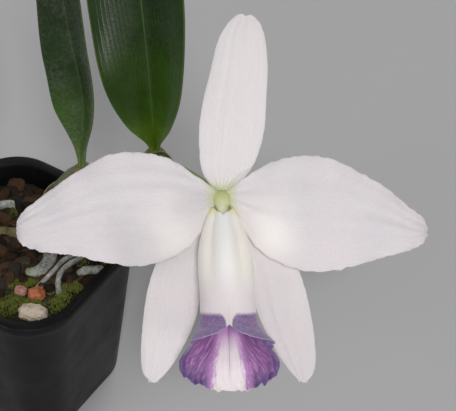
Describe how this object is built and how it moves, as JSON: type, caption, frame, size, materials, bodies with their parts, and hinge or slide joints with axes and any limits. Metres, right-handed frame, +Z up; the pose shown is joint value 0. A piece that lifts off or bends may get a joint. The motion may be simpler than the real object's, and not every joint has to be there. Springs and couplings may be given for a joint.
{
  "type": "potted cattleya orchid in bloom",
  "caption": "Cattleya orchid in a square plastic pot: club-shaped stems with leathery leaves and a white bloom with a violet-edged tubular lip.",
  "frame": {"origin": "middle of the pot's underside, on the surface the pot stands on", "axes": "+Z up, -Y towards the side that the bloom faces, +X to the viewer's right when facing the bloom"},
  "size_m": [0.2107, 0.1924, 0.3062],
  "materials": {
    "black_plastic": "satin",
    "potting_mix": "matte",
    "brick": "matte",
    "pale_brick": "matte",
    "pale_stone": "matte",
    "rhizome": "matte",
    "green_sheath": "satin",
    "stalk_green": "satin",
    "sepal_white": "matte",
    "petal_white": "matte",
    "lip": "satin",
    "column_green": "satin",
    "anther": "satin",
    "root_silver": "matte",
    "bulb_green": "satin",
    "dry_bract": "matte",
    "leaf_green": "gloss"
  },
  "bodies": {
    "root": {"pot": "black_plastic", "growing_medium": "potting_mix", "brick_chunk": "brick", "small_brick_chunk": "pale_brick", "pale_stone": "pale_stone", "rhizome": "rhizome", "flower_sheath": "green_sheath", "flower_stalk": "stalk_green", "dorsal_sepal": "sepal_white", "lateral_sepal_left": "sepal_white", "lateral_sepal_right": "sepal_white", "petal_left": "petal_white", "petal_right": "petal_white", "lip": "lip", "column": "column_green", "anther_cap": "anther", "root_1": "root_silver", "root_2": "root_silver", "root_3": "root_silver", "root_4": "root_silver", "root_5": "root_silver", "pseudobulb_1": "bulb_green", "bract_1": "dry_bract", "pseudobulb_2": "bulb_green", "bract_2": "dry_bract", "pseudobulb_3": "bulb_green", "bract_3": "dry_bract", "pseudobulb_4": "bulb_green", "bract_4": "dry_bract", "leaf_1": "leaf_green", "leaf_2": "leaf_green", "leaf_3": "leaf_green"}
  },
  "joints": []
}
